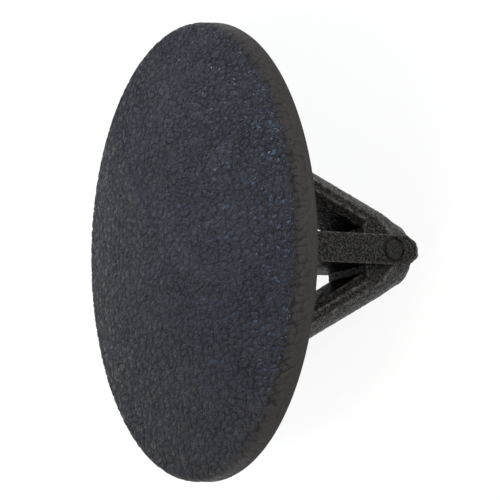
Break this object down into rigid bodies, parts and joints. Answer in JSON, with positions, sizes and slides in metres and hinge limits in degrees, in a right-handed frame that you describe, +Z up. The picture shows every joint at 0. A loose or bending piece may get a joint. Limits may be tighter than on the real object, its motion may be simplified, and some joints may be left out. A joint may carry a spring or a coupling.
{
  "type": "trim retainer clip",
  "caption": "Push-in trim retainer with a round domed head, a flat tapered stem and spring barbs that spread from a blunt nose to grip behind a panel hole.",
  "frame": {"origin": "middle of the bounding box, on the surface that the clip lies on", "axes": "+Z up, +Y across the head, +X along the ground from the head's low edge towards the stem's end"},
  "size_m": [0.0194, 0.025, 0.0195],
  "materials": {
    "black_nylon": "fine leather grain on the head, spark-eroded grain on the prong"
  },
  "bodies": {
    "root": {"retainer_clip": "black_nylon"}
  },
  "joints": []
}
